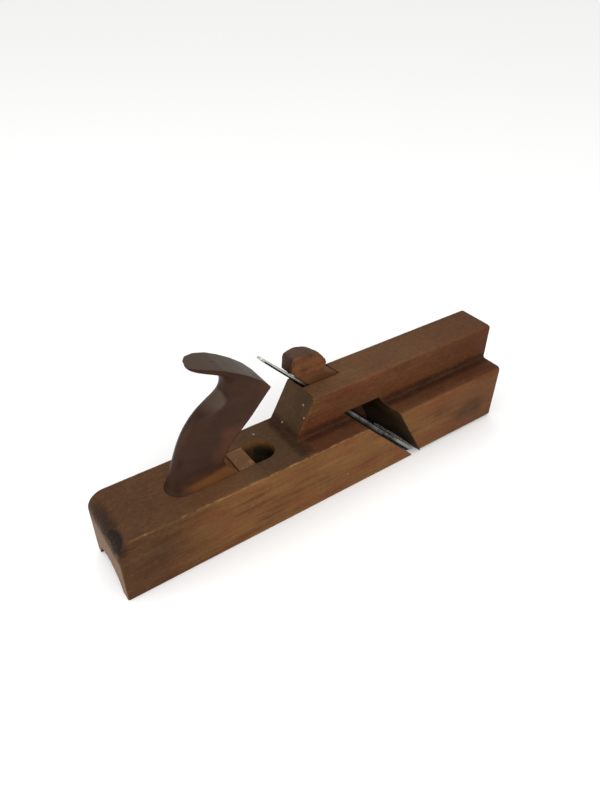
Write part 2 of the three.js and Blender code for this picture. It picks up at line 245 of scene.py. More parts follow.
class Shader(Tree):
    """A material's nodes, with its places in drawing millimetres."""

    def __init__(self, name: str, specular: float = 0.5) -> None:
        """Starts a material that has only its surface shader.

        Args:
            name: The material's name.
            specular: Strength of its reflection.
        """
        self.material = bpy.data.materials.new(name)
        self.material.use_nodes = True
        super().__init__(self.material.node_tree)
        self.surface = next(n for n in self.tree.nodes if n.type == "BSDF_PRINCIPLED")
        self.surface.inputs["Specular IOR Level"].default_value = specular
        axes = self.split(self.node("ShaderNodeTexCoord", output="Object"))
        self.x = (axes[0] - STOCK_LOW.x) / MM
        self.y = (axes[1] - STOCK_LOW.y) / MM
        self.z = (axes[2] - STOCK_LOW.z) / MM
        self.facing = self.split(self.node("ShaderNodeTexCoord", output="Normal"))

    def stretched(self, x: float, y: float, z: float) -> Link:
        """Returns the place on the piece, in millimetres, divided by a length along each axis."""
        return self.join(self.x / x, self.y / y, self.z / z)

    def cloud(
        self, size: Sequence[float], detail: float = 3, roughness: float = 0.5, shift: float = 0
    ) -> Link:
        """Soft noise with grains of a given size.

        Args:
            size: Grain length along x, y and z in millimetres.
            detail: Octaves of finer noise.
            roughness: How strong each finer octave is.
            shift: Moves the pattern, so that two clouds differ.

        Returns:
            A value about 0.5, mostly between 0.3 and 0.7.
        """
        at = self.join(self.x / size[0] + shift, self.y / size[1] - shift, self.z / size[2])
        return self.node(
            "ShaderNodeTexNoise",
            values={"Vector": at, "Scale": 1.0, "Detail": detail, "Roughness": roughness},
        )

    def blend(self, base: Link | str, over: Link | str, amount: Link | float) -> Link:
        """Lays one colour over another.

        Args:
            base: Hex colour or link underneath.
            over: Hex colour or link on top.
            amount: How much of the top shows, from 0 to 1.

        Returns:
            The mixed colour.
        """

        def colour(value: Link | str) -> Any:
            """Turns a hex colour into the four numbers that a colour socket wants."""
            return value if isinstance(value, Link) else (*tone(value), 1.0)

        return self.node(
            "ShaderNodeMix",
            {"data_type": "RGBA"},
            {0: amount, 6: colour(base), 7: colour(over)},
            output=2,
        )

    def line(self, a: Link, at_a: float, b: Link, at_b: float, reach: float) -> Link:
        """Marks the surface near an edge that runs along one axis.

        Args:
            a: First coordinate across the edge, in millimetres.
            at_a: Its value on the edge.
            b: Second coordinate across the edge.
            at_b: Its value on the edge.
            reach: How far from the edge the mark fades out.

        Returns:
            1 on the edge, 0 beyond the reach.
        """
        return ((a - at_a) ** 2 + (b - at_b) ** 2).step(reach * reach, 0.0)

    def spot(self, centre: Sequence[float], size: Sequence[float]) -> Link:
        """Marks an egg-shaped patch.

        Args:
            centre: Its middle, in drawing millimetres.
            size: Its half lengths along x, y and z.

        Returns:
            1 in the middle, 0 outside.
        """
        parts = [
            ((axis - at) / half) ** 2
            for axis, at, half in zip((self.x, self.y, self.z), centre, size)
        ]
        return (parts[0] + parts[1] + parts[2]).step(1.0, 0.0)

    def specks(self, spacing: float, radius: float, share: float) -> Link:
        """Small round spots scattered over the piece.

        Args:
            spacing: Mean distance between places for a spot, in millimetres.
            radius: Spot radius in millimetres.
            share: Part of the places that hold a spot.

        Returns:
            1 on a spot, 0 elsewhere.
        """
        at = self.stretched(spacing, spacing, spacing)
        near = self.node("ShaderNodeTexVoronoi", values={"Vector": at, "Scale": 1.0})
        draw = self.split(Link(self, near.socket.node.outputs["Color"]))[0]
        size, soft = radius / spacing, 0.02
        return near.step(size, size * 0.5) * draw.step(share + soft, share - soft)

    def finish(
        self, colour: Link, roughness: Link | float, height: Link, depth: float, strength: float
    ) -> bpy.types.Material:
        """Joins colour, roughness and relief to the surface.

        Args:
            colour: Base colour.
            roughness: Roughness from 0 to 1.
            height: Relief from 0 to 1.
            depth: What a height of 1 stands for, in millimetres.
            strength: Strength of the bump.

        Returns:
            The finished material.
        """
        bump = self.node(
            "ShaderNodeBump", values={"Height": height, "Distance": depth * MM, "Strength": strength}
        )
        self.feed(colour, self.surface.inputs["Base Color"])
        self.feed(bump, self.surface.inputs["Normal"])
        self.feed(roughness, self.surface.inputs["Roughness"])
        return self.material


@dataclass(frozen=True)
class Bed:
    """The sloping, skewed face that the iron lies on."""

    foot: float = 240.0
    slope: float = 45.5
    skew: float = 8.0

    def run(self, s: Shader) -> Link:
        """Measures how far towards the toe a place lies from the bed's foot, along the sole.

        Args:
            s: The shader to build the measure in.

        Returns:
            The distance in millimetres.
        """
        return s.x + s.y * math.tan(math.radians(self.skew)) - self.foot

    def off(self, s: Shader) -> Link:
        """Measures how far a place stands out from the bed.

        Args:
            s: The shader to build the measure in.

        Returns:
            Millimetres square to the bed.
        """
        slope = math.radians(self.slope)
        return self.run(s) * math.sin(slope) + s.z * math.cos(slope)

    def up(self, s: Shader) -> Link:
        """Measures how far up the bed a place lies.

        Args:
            s: The shader to build the measure in.

        Returns:
            Millimetres from the bed's foot.
        """
        slope = math.radians(self.slope)
        return s.z * math.sin(slope) - self.run(s) * math.cos(slope)


BED = Bed()


# ---- Finishes -----------------------------------------------------------------------------


@dataclass(frozen=True)
class WoodGrain:
    """How one kind of wood is figured."""

    dark: str
    middle: str
    light: str
    streak: tuple[float, float, float] = (60, 4, 4)
    fibre: tuple[float, float, float] = (7, 0.4, 0.4)
    patch: tuple[float, float, float] = (38, 18, 16)

    def colour(self, shader: Shader) -> tuple[Link, Link]:
        """Builds the bare wood.

        Args:
            shader: The shader to build it in.

        Returns:
            The colour, and the fine fibre pattern for relief.
        """
        streaks = shader.cloud(self.streak, detail=4, roughness=0.6)
        patches = shader.cloud(self.patch, detail=2, shift=7.3)
        fibre = shader.cloud(self.fibre, detail=3, roughness=0.65, shift=3.1)
        figure = streaks * 0.55 + patches * 0.45
        wood = shader.blend(self.dark, self.middle, figure.step(0.28, 0.5))
        wood = shader.blend(wood, self.light, figure.step(0.5, 0.75))
        wood = shader.blend(wood, self.dark, fibre.step(0.52, 0.75) * 0.5)
        return wood, fibre


@dataclass(frozen=True)
class StockFinish:
    """Old oiled beech: reddish brown, grimy on top, pale where the edges are rubbed, with painted shade on
    the upper side wall, the ledge, the inner corners, the throat and the tote's pocket.
    """

    grain: WoodGrain = WoodGrain("452713", "684523", "7e5935")
    red: str = "652f1a"
    top_dirt: str = "543b29"
    # Painted shade on the upper side wall and the ledge, and dirt towards the toe.
    wall_shade_and_toe_dirt: str = "45210f"
    step_dirt: str = "382b1d"
    # Dark for the random mottle, and for the painted shade in the inner corners.
    mottle_and_corner_shade: str = "220f07"
    heel_dirt: str = "29170b"
    # Dark for the painted shade and dirt in the throat, and for the painted shade in the tote's pocket.
    recess_shade_and_dirt: str = "1e1b13"
    end_grain: str = "76604f"
    rubbed: str = "8f6a45"
    paint: str = "a8947d"
    smudge: str = "120c08"

    def material(self, stock: "Stock") -> bpy.types.Material:
        """Builds the material.

        Args:
            stock: The stock, for the places of its edges and corners.

        Returns:
            The material.
        """
        s = Shader("stock_beech", specular=0.1)
        grime = s.cloud((24, 16, 16), detail=5, roughness=0.62, shift=11.0)
        wood, fibre = self.grain.colour(s)
        red = s.cloud((46, 24, 20), detail=3, shift=21.0)
        wood = s.blend(wood, self.red, red.step(0.45, 0.64) * 0.4)
        wood = self.dirt_and_shade(s, stock, wood, grime)
        scratch = s.cloud((22, 1.0, 0.6), detail=2, shift=15.0).step(0.64, 0.74)
        wood = s.blend(wood, self.rubbed, scratch * (-s.facing[1]).step(0.5, 0.9) * 0.22)
        mottle = s.cloud((3.0, 1.6, 1.6), detail=4, roughness=0.75, shift=19.0)
        wood = s.blend(wood, self.mottle_and_corner_shade, mottle.step(0.5, 0.72) * 0.35)
        wood = s.blend(wood, self.rubbed, mottle.step(0.46, 0.3) * 0.14)
        worn = self.worn(s, stock)
        wood = s.blend(wood, self.rubbed, worn)
        # Painted shade and dirt: the walls of the throat are darkened.
        wood = s.blend(wood, self.recess_shade_and_dirt, stock.throat_shade_and_dirt_mask(s) * 0.9)
        paint = s.specks(17, 0.75, 0.22) * s.cloud((60, 30, 30), detail=1, shift=5.0).step(0.42, 0.6)
        for centre in stock.paint_spots:
            paint = paint.most(s.spot(centre, stock.paint_spot))
        wood = s.blend(wood, self.paint, paint * 0.6)
        rough = 0.56 + 0.22 * grime - 0.12 * worn
        relief = fibre * 0.6 + grime * 0.8
        return s.finish(wood, rough, relief, depth=0.35, strength=0.35)

    def dirt_and_shade(self, s: Shader, stock: "Stock", wood: Link, grime: Link) -> Link:
        """Lays the dirt of use over the wood, and painted shade on the upper side wall, the ledge, the
        inner corners and the tote's pocket.

        Args:
            s: The shader.
            stock: The stock.
            wood: The clean wood's colour.
            grime: Cloudy pattern of the dirt and of the painted shade.

        Returns:
            The wood's colour with its dirt and painted shade.
        """
        x, y, z = s.x, s.y, s.z
        up = s.facing[2].step(0.55, 0.9)
        back = (-s.facing[0]).step(0.5, 0.8)
        wood = s.blend(wood, self.top_dirt, up * (0.45 + 0.5 * grime))
        # Painted shade: the near side wall above the deck is darkened as if shaded.
        wall = (-s.facing[1]).step(0.5, 0.9) * z.step(DECK, DECK + 2)
        wood = s.blend(wood, self.wall_shade_and_toe_dirt, wall * (0.45 + 0.5 * grime))
        step = back * z.step(DECK - 3, DECK + 3)
        wood = s.blend(wood, self.step_dirt, step * (0.6 + 0.5 * grime))
        handled = x.step(*stock.handled_heel) * (0.45 + 0.75 * grime)
        wood = s.blend(wood, self.heel_dirt, handled * (0.8 - 0.35 * up))
        toe = x.step(*stock.handled_toe) * (0.25 + 0.5 * grime)
        wood = s.blend(wood, self.wall_shade_and_toe_dirt, toe * 0.8)
        plain = up * x.step(*stock.dusty_deck) * x.step(stock.step_foot + 3, stock.step_foot)
        wood = s.blend(wood, self.step_dirt, plain * 0.6)
        heel = back * z.step(DECK - 12, DECK - 20) * x.step(6, 2)
        wood = s.blend(wood, self.end_grain, heel * (0.45 + 0.4 * grime))
        # Painted shade: darker along the inner corners of the ledge and of the step's foot.
        ledge = s.line(y, stock.ledge, z, DECK, stock.corner_shade_reach)
        ledge = ledge * x.step(stock.step_foot, stock.step_foot + 8)
        foot = s.line(x, stock.step_foot, z, DECK, stock.corner_shade_reach)
        foot = foot * y.step(0, 6) * y.step(STOCK_WIDTH, STOCK_WIDTH - 1)
        # Painted shadow: the ledge's top is darkened as if the wall above shaded it.
        ledge_shadow = up * y.step(stock.ledge, stock.ledge - 1) * z.step(DECK + 1, DECK + 0.5)
        ledge_shadow = ledge_shadow * x.step(stock.step_foot, stock.step_foot + 6)
        wood = s.blend(wood, self.wall_shade_and_toe_dirt, ledge_shadow * (0.3 + 0.6 * grime))
        wood = s.blend(wood, self.mottle_and_corner_shade, ledge.most(foot) * (0.35 + 0.7 * grime))
        # Painted shade: the tote's pocket below the deck is darkened.
        half_slot = stock.slot_width / 2
        across = abs(y - STOCK_WIDTH / 2).step(half_slot + 0.6, half_slot)
        pocket = across * x.step(70, 80) * x.step(stock.slot_toe + 2, stock.slot_toe)
        wood = s.blend(wood, self.recess_shade_and_dirt, pocket * z.step(DECK, DECK - 9) * 0.97)
        smudge = s.spot(*stock.heel_stain) * 0.75
        smudge = smudge.most(s.spot(*stock.heel_burn) * 1.3).least(0.95)
        smudge = smudge.most(s.spot(*stock.toe_stain) * (0.15 + 0.5 * grime))
        return s.blend(wood, self.smudge, smudge)

    def worn(self, s: Shader, stock: "Stock") -> Link:
        """Marks the edges that are rubbed pale.

        Args:
            s: The shader.
            stock: The stock.

        Returns:
            How much an edge is rubbed, from 0 to 1.
        """
        x, y, z = s.x, s.y, s.z
        rim = s.line(y, 0, z, DECK, 1.4) * x.step(BED.foot - 40, BED.foot - 50)
        toe_rim = s.line(y, 0, z, DECK, 2.5) * x.step(BED.foot - 45, BED.foot - 40)
        ridge = s.line(y, stock.ledge, z, STOCK_HEIGHT, 3.0)
        left = s.line(y, STOCK_WIDTH, z, STOCK_HEIGHT, 1.4)
        left = left.most(s.line(y, STOCK_WIDTH, z, DECK, 1.4))
        sole = s.line(y, 0, z, 0, 1.0)
        ends = x.step(1.4, 0.2).most(x.step(STOCK_LENGTH - 2.5, STOCK_LENGTH - 0.2) * 0.5)
        chip = s.cloud((11, 5, 5), detail=4, roughness=0.7, shift=2.0)
        edges = (rim * 0.8).most(toe_rim * 0.15).most(ridge * 0.08).most(left * 0.5).most(sole * 0.4)
        return edges.most(ends * 0.3) * chip.step(0.42, 0.66) * 0.8


@dataclass(frozen=True)
class ToteFinish:
    """Dark hardwood that the hand has polished, with a painted sheen on the horn's top and painted shade
    along the horn's crease.
    """

    grain: WoodGrain = WoodGrain("21110a", "2f1b0e", "3d2413", streak=(60, 5, 9), fibre=(12, 0.4, 0.6))
    rubbed: str = "4f2c1b"
    worn_foot: str = "6b4426"
    # Grey for the painted sheen on the horn's top, and for a pale deposit at the rear of the foot.
    horn_sheen_and_seat_deposit: str = "4a3c31"
    # Dark for the painted shade along the horn's crease, and for the dent.
    shade_and_dent: str = "1c100b"

    def material(self, tote: "Tote") -> bpy.types.Material:
        """Builds the material.

        Args:
            tote: The tote, for the height of its foot and the place of its horn.

        Returns:
            The material.
        """
        s = Shader("tote_hardwood", specular=0.12)
        wood, fibre = self.grain.colour(s)
        hand = s.cloud((26, 18, 26), detail=3, shift=4.0)
        side = abs(s.facing[1]).step(0.8, 1.0)
        wood = s.blend(wood, self.rubbed, side * hand.step(0.4, 0.65) * 0.6)
        foot = s.z - s.x.step(*tote.foot_rise) * 4
        foot = foot.step(tote.foot_top + 1, tote.foot_top - 4)
        foot = foot * s.x.step(*tote.palm_foot)
        wood = s.blend(wood, self.worn_foot, foot * (0.45 + 0.7 * hand))
        seat = s.z.step(tote.foot_top - 2, DECK - 1)
        wood = s.blend(wood, self.horn_sheen_and_seat_deposit, seat * (1 - s.x.step(*tote.seat_end)) * 0.4)
        up = s.facing[2]
        # Painted sheen: the horn's up-facing top is greyed as if it reflected the sky.
        top = up.step(0.42, 0.62) * s.z.step(tote.horn_foot - 2, tote.horn_foot + 4)
        # Painted shade: a dark band along the crease between the horn's top and its sides.
        rim = up.step(0.3, 0.42) * up.step(0.55, 0.42) * s.z.step(tote.horn_foot, tote.horn_foot + 8)
        wood = s.blend(wood, self.shade_and_dent, rim * 0.6)
        wood = s.blend(wood, self.horn_sheen_and_seat_deposit, top * 0.75)
        dent = s.spot(*tote.dent)
        wood = s.blend(wood, self.shade_and_dent, dent * 0.8)
        rough = 0.36 + 0.22 * hand
        relief = fibre * 0.4 + hand * 0.4 - dent
        return s.finish(wood, rough, relief, depth=0.25, strength=0.3)


@dataclass(frozen=True)
class FillerFinish:
    """Paler, drier wood."""

    grain: WoodGrain = WoodGrain("4f341f", "66452a", "7c5838", streak=(40, 3, 3))
    dust: str = "86694e"

    def material(self) -> bpy.types.Material:
        """Builds the material.

        Returns:
            The material.
        """
        s = Shader("filler_wood", specular=0.2)
        wood, fibre = self.grain.colour(s)
        dust = s.cloud((5, 4, 4), detail=3, shift=9.0)
        wood = s.blend(wood, self.dust, dust.step(0.5, 0.7) * 0.5)
        return s.finish(wood, 0.68, fibre, depth=0.3, strength=0.35)


@dataclass(frozen=True)
class WedgeFinish:
    """Old beech, battered at the head, orange brown where the surface is broken, with painted shade where
    it faces the heel and below the stock's top.
    """

    grain: WoodGrain = WoodGrain("3c2111", "57331a", "6b4424", streak=(30, 2.4, 3), patch=(14, 9, 12))
    broken: str = "6e4019"
    crown: str = "43342a"
    # Dark for the painted shade on the heel-facing side and below the stock's top.
    shade_and_dent: str = "1c100a"

    def material(self, wedge: "Wedge") -> bpy.types.Material:
        """Builds the material.

        Args:
            wedge: The wedge, for the height of its head.

        Returns:
            The material.
        """
        s = Shader("wedge_beech", specular=0.2)
        wood, fibre = self.grain.colour(s)
        rough_patch = s.cloud((5, 5, 4), detail=5, roughness=0.7, shift=6.0)
        head = s.z.step(wedge.head_foot, wedge.head_foot + 6)
        near = (-s.facing[1]).step(0.4, 0.9)
        wood = s.blend(wood, self.broken, head * near * rough_patch.step(0.4, 0.66) * 0.7)
        crown = s.facing[2].step(0.1, 0.7) * head
        wood = s.blend(wood, self.crown, crown * 0.65)
        # Painted shade: darker on the heel-facing side that overhangs the iron, and on the part below the
        # stock's top.
        under = (-s.facing[0]).step(0.3, 0.8).most(s.z.step(STOCK_HEIGHT - 8, STOCK_HEIGHT - 24))
        wood = s.blend(wood, self.shade_and_dent, under * (0.35 + 0.6 * rough_patch))
        relief = fibre * 0.3 + rough_patch * head * 1.2
        return s.finish(wood, 0.66, relief, depth=0.8, strength=0.5)


@dataclass(frozen=True)
class IronFinish:
    """Forged tool steel: dark and stained, bright along the edges that are rubbed or ground, with a
    painted highlight on the tang's top and upper side and painted shade on its lower side.
    """

    stain: str = "2e2b28"
    steel: str = "7c7e7c"
    # Bright steel, also used for the painted highlight on the tang.
    bright: str = "c4c3bb"
    edge: str = "8b8a85"
    # Black of the wrought iron body, also used for the painted shade on the tang's lower side.
    black: str = "0d0e0c"

    def material(self, iron: "Iron") -> bpy.types.Material:
        """Builds the material.

        Args:
            iron: The iron, for its place along the bed.

        Returns:
            The material.
        """
        s = Shader("iron_steel")
        along, above = BED.up(s), BED.off(s)
        stain = s.cloud((6, 6, 6), detail=5, roughness=0.65)
        scratch = s.cloud((0.5, 14, 0.5), detail=3, shift=8.0)
        colour = s.blend(self.stain, self.steel, stain.step(0.35, 0.7) * 0.35)
        tang = along.step(*iron.shoulder)
        # Painted highlight: the tang's up-facing top is made bright as if lit.
        lit_top_face = s.facing[2].step(0.1, 0.5)
        colour = s.blend(colour, self.bright, tang * lit_top_face * (0.4 + 0.5 * stain))
        # On the blade the near side is black below the laminate, the wrought iron body; on the tang the
        # near side gets painted shade below the line and a painted highlight above it.
        right = (-s.facing[1]).step(0.5, 0.9)
        split = iron.laminate * (1 - tang) + iron.tang_light_shade_line * tang
        colour = s.blend(colour, self.black, right * (above - split).step(0.25, -0.25) * 0.9)
        steel = (above - split).step(-0.25, 0.25) * right
        colour = s.blend(colour, self.bright, steel * tang * (0.6 + 0.5 * stain))
        ground = s.facing[2].step(-0.6, -0.95)
        rubbed = steel * along.step(*iron.rubbed_end)
        colour = s.blend(colour, self.edge, rubbed.most(ground * 0.7) * (0.7 + 0.5 * stain))
        colour = s.blend(colour, self.bright, along.step(iron.tip - 5, iron.tip - 3) * 0.7)
        s.surface.inputs["Metallic"].default_value = 1.0
        rough = 0.5 - 0.15 * steel + 0.15 * scratch
        return s.finish(colour, rough, stain * 0.6 + scratch * 0.4, depth=0.12, strength=0.3)


@dataclass(frozen=True)
class FloorFinish:
    """Plain white studio floor."""

    colour: str = "fbfbfa"
    roughness: float = 0.9

    def material(self) -> bpy.types.Material:
        """Builds the material.

        Returns:
            The material.
        """
        s = Shader("studio_floor")
        s.surface.inputs["Base Color"].default_value = (*tone(self.colour), 1.0)
        s.surface.inputs["Roughness"].default_value = self.roughness
        return s.material


# ---- Pieces -------------------------------------------------------------------------------


class Body(Enum):
    """The bodies that move as one."""

    STOCK = "stock"
    IRON = "iron"
    WEDGE = "wedge"


def object_of(name: str, bm: bmesh.types.BMesh) -> bpy.types.Object:
    """Turns a bmesh into an object in the scene and frees the bmesh.

    Args:
        name: The object's name.
        bm: The shape, in metres in the frame.

    Returns:
        The new object.
    """
    mesh = bpy.data.meshes.new(name)
    bm.to_mesh(mesh)
    bm.free()
    piece = bpy.data.objects.new(name, mesh)
    bpy.context.scene.collection.objects.link(piece)
    return piece


def merged_copy(node: str) -> bmesh.types.BMesh:
    """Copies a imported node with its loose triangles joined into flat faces.

    Args:
        node: The node's name.

    Returns:
        The copy.
    """
    bm = bmesh.new()
    bm.from_mesh(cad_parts[node].data)
    bmesh.ops.remove_doubles(bm, verts=bm.verts, dist=SAME_POINT * MM)
    bmesh.ops.dissolve_limit(
        bm, angle_limit=math.radians(FLAT_TURN), verts=bm.verts, edges=bm.edges
    )
    for face in bm.faces:
        face.smooth = True
    return bm


def soften(
    bm: bmesh.types.BMesh, name: str, width_of: Callable[[bmesh.types.BMEdge], float], segments: int
) -> bpy.types.Object:
    """Rounds each edge of a shape by its own width.

    Args:
        bm: The shape. It is freed.
        name: The object's name.
        width_of: Gives the rounding width of an edge in millimetres, or 0.
        segments: Strips in each rounding.

    Returns:
        An object with the rounding made.
    """
    weights = bm.edges.layers.float.new("bevel_weight_edge")
    widths = {edge: width_of(edge) for edge in bm.edges}
    widest = max(widths.values())
    for edge, width in widths.items():
        edge[weights] = width / widest
    piece = object_of(name, bm)
    rounding = piece.modifiers.new("rounding", "BEVEL")
    rounding.limit_method = "WEIGHT"
    rounding.width = widest * MM
    rounding.segments = segments
    rounding.profile = 0.5
    rounding.use_clamp_overlap = False
    made = piece.evaluated_get(bpy.context.evaluated_depsgraph_get())
    mesh = bpy.data.meshes.new_from_object(made)
    piece.modifiers.clear()
    piece.data = mesh
    return piece


def turn_of(edge: bmesh.types.BMEdge) -> float:
    """Returns the angle between an edge's two faces in degrees."""
    return math.degrees(edge.calc_face_angle(0.0))


def grid(bm: bmesh.types.BMesh, spacing: float) -> None:
    """Cuts a shape by planes square to x, y and z, so that its big faces can be worked.

    Args:
        bm: The shape to cut.
        spacing: Distance between planes in millimetres.
    """
    for axis in range(3):
        low = min(v.co[axis] for v in bm.verts)
        high = max(v.co[axis] for v in bm.verts)
        count = math.ceil((high - low) / (spacing * MM))
        normal = Vector((axis == 0, axis == 1, axis == 2))
        for cut in range(1, count):
            point = normal * (low + (high - low) * cut / count)
            bmesh.ops.bisect_plane(
                bm, geom=bm.verts[:] + bm.edges[:] + bm.faces[:], dist=ON_PLANE * MM,
                plane_co=point, plane_no=normal,
            )


def weather(bm: bmesh.types.BMesh, depth_of: Callable[[Vector], float]) -> None:
    """Moves the surface in or out along its normals.

    Args:
        bm: The shape.
        depth_of: Gives how far a point moves outwards, in millimetres.
    """
    bm.normal_update()
    moves = [(v, v.normal * depth_of(v.co) * MM) for v in bm.verts]
    for vert, move in moves:
        vert.co += move


def keep_inside(bm: bmesh.types.BMesh, low: Vector, high: Vector) -> None:
    """Presses stray points of a worked surface back into a box.

    Args:
        bm: The shape.
        low: The box's lowest corner.
        high: The box's highest corner.
    """
    for vert in bm.verts:
        vert.co = [min(max(c, a), b) for c, a, b in zip(vert.co, low, high)]


def rework(piece: bpy.types.Object, work: Callable[[bmesh.types.BMesh], None]) -> None:
    """Works the mesh of a rounded piece.

    Args:
        piece: The piece.
        work: Changes its bmesh in place.
    """
    bm = bmesh.new()
    bm.from_mesh(piece.data)
    work(bm)
    bm.to_mesh(piece.data)
    bm.free()


def dress(
    piece: bpy.types.Object, material: bpy.types.Material, node: str, body: Body
) -> bpy.types.Object:
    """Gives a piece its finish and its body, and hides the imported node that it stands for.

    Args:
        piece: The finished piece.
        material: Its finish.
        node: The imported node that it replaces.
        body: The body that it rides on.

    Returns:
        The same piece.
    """
    piece.data.materials.clear()
    piece.data.materials.append(material)
    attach(piece, body.value)
    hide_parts(node)
    LOG.info("%s: %d faces", piece.name, len(piece.data.polygons))
    return piece


@dataclass(frozen=True)
class StockRounding:
    """How far each kind of the stock's edges is worn round, in millimetres."""

    hollow: float = 0.3
    toe_end: float = 2.2
    toe_end_foot: float = 0.8
    heel_end: float = 1.1
    sole: float = 1.0
    sole_across: float = 0.3
    toe_sole: float = 4.0
    inner_corner: float = 2.5
    top: float = 3.6
    toe_ledge: float = 4.5
    side: float = 1.0
    slot: float = 0.25
    step_right: float = 2.2
    step: float = 1.2
    other: float = 0.5


@dataclass
class Stock:
    """The wooden body, with its eased and worn edges.

    A stretch is two places along the length, from where a mark starts to where it is full. A stain
    is its middle and its half lengths.
    """

    ledge: float = 18.0
    step_foot: float = 138.5
    mouth: float = 8.6
    throat_slope: float = 60.5
    throat_roof: float = 57.5
    mortise: tuple[float, float] = (34.7, 47.4)
    slot_width: float = 20.6
    slot_toe: float = 124.0
    rounding: StockRounding = StockRounding()
    grid_spacing: float = 3.05
    unevenness: float = 0.12
    slow_wave: Place = (50.0, 20.0, 20.0)
    quick_wave: float = 8.0
    handled_heel: Stretch = (90.0, 15.0)
    handled_toe: Stretch = (235.0, 320.0)
    dusty_deck: Stretch = (88.0, 112.0)
    corner_shade_reach: float = 8.0
    heel_stain: tuple[Place, Place] = ((3, 26, 45), (11, 30, 10))
    heel_burn: tuple[Place, Place] = ((3, 10, 45), (8, 14, 9))
    toe_stain: tuple[Place, Place] = ((300, 0, 20), (22, 6, 13))
    paint_spot: Place = (1.3, 1.1, 1.3)
    paint_spots: tuple[Place, ...] = (
        (149.9, 26.0, 73.3), (146.5, 20.5, 67.0), (140.3, 37.9, 54.4), (118.8, 41.7, 50.8),
    )

    def throat_shade_and_dirt_mask(self, s: Shader) -> Link:
        """Marks the walls of the open throat, which painted shade and dirt darken.

        Args:
            s: The shader to build the mask in.

        Returns:
            1 inside the throat, 0 elsewhere.
        """
        right, left = self.mortise
        front = math.radians(self.throat_slope)
        behind_front = (self.mouth - BED.run(s)) * math.sin(front) - s.z * math.cos(front)
        between = s.y.step(0.2, 1.2) * s.y.step(left + 0.6, left + 0.2)
        inside = BED.off(s).step(-0.6, 0.0) * behind_front.step(-0.6, 0.0) * between
        roof = s.z.step(self.throat_roof + 0.6, self.throat_roof + 0.2)
        mortise = s.y.step(right - 0.4, right) * s.y.step(left + 0.4, left)
        return inside * roof.most(mortise * s.z.step(STOCK_HEIGHT - 1, STOCK_HEIGHT - 6))

    def edge_width(self, edge: bmesh.types.BMEdge) -> float:
        """Says how far an edge is worn round.

        Args:
            edge: An edge of the merged copy.

        Returns:
            The rounding in millimetres.
        """
        if turn_of(edge) < SHARP_TURN:
            return 0.0
        near = 0.1
        width = self.rounding
        middle = (edge.verts[0].co + edge.verts[1].co) / 2
        x, y, z = ((middle - place(0, 0, 0)) / MM).to_tuple()
        run = edge.verts[0].co - edge.verts[1].co
        along = abs(run.x) > 0.98 * run.length
        right, left = y < near, y > STOCK_WIDTH - near
        if 7.9 < y < STOCK_WIDTH - 4.6 and z < 16:
            return width.hollow
        if x > STOCK_LENGTH - near:
            return width.toe_end if z > near else width.toe_end_foot
        if x < near or (x < 13 and not along):
            return width.heel_end
        if z < near:
            if along and x > BED.foot and right:
                return width.toe_sole
            return width.sole if along else width.sole_across
        if along and abs(y - self.ledge) < near and abs(z - DECK) < near:
            return width.inner_corner
        if along and z > STOCK_HEIGHT - near and (y < self.ledge + near or left):
            return width.top
        if along and right:
            return width.toe_ledge if x > BED.foot - 30 else width.side
        if along and left:
            return width.side
        if abs(z - DECK) < near and 40 < x < self.slot_toe + 2 and 10 < y < 40:
            return width.slot
        if x < self.step_foot + 20:
            return width.step_right if y < self.ledge + near and z > DECK + 1 else width.step
        return width.other

    def depth(self, at: Vector) -> float:
        """Gives the small waves of a hand-planed and handled surface.

        Args:
            at: A point of the surface.

        Returns:
            How far it stands out, in millimetres.
        """
        slow = noise.noise(Vector([c / (wave * MM) for c, wave in zip(at, self.slow_wave)]))
        quick = noise.noise(at / (self.quick_wave * MM))
        return self.unevenness * (slow - 1.0) + 0.25 * self.unevenness * (quick - 1.0)

    def work(self, bm: bmesh.types.BMesh) -> None:
        """Weathers the rounded shape and keeps its crisp edges crisp.

        Args:
            bm: The shape.
        """
        grid(bm, self.grid_spacing)
        weather(bm, self.depth)
        keep_inside(bm, STOCK_LOW, STOCK_HIGH)
        for edge in bm.edges:
            edge.smooth = turn_of(edge) < CRISP_TURN

    def build(self) -> bpy.types.Object:
        """Builds the stock.

        Returns:
            The finished piece.
        """
        piece = soften(merged_copy("stock"), "stock_body", self.edge_width, segments=3)
        rework(piece, self.work)
        return dress(piece, StockFinish().material(self), "stock", Body.STOCK)


# Where the rounded palm side of an outline has its points, in degrees from the side.
PALM_ANGLES = (24, 46, 68)


@dataclass(frozen=True)
class Station:
    """One cut through the tote.

    Its rear and front are the x and z of its ends, its face and side the half widths there, and
    rounded is the part of its depth that the palm side's round takes up.
    """

    rear: tuple[float, float]
    front: tuple[float, float]
    face: float
    side: float
    rounded: float

    def ring(self, middle: float) -> list[Vector]:
        """Gives the outline of the cut.

        Args:
            middle: The y of the tote's middle plane.

        Returns:
            Its points, from the middle of the flat toe side round the right side and back.
        """
        flat = 1 - self.rounded
        half = [(0.0, self.face)]
        half += [(flat * t, self.face + (self.side - self.face) * t) for t in (0.5, 1.0)]
        for angle in PALM_ANGLES:
            turn = math.radians(angle)
            half.append((flat + self.rounded * math.sin(turn), self.side * math.cos(turn)))
        loop = [(0.0, 0.0)] + half + [(1.0, 0.0)]
        loop += [(t, -w) for t, w in reversed(half)]
        points = []
        for t, w in loop:
            x = self.front[0] + (self.rear[0] - self.front[0]) * t
            z = self.front[1] + (self.rear[1] - self.front[1]) * t
            points.append(place(x, middle - w, z))
        return points


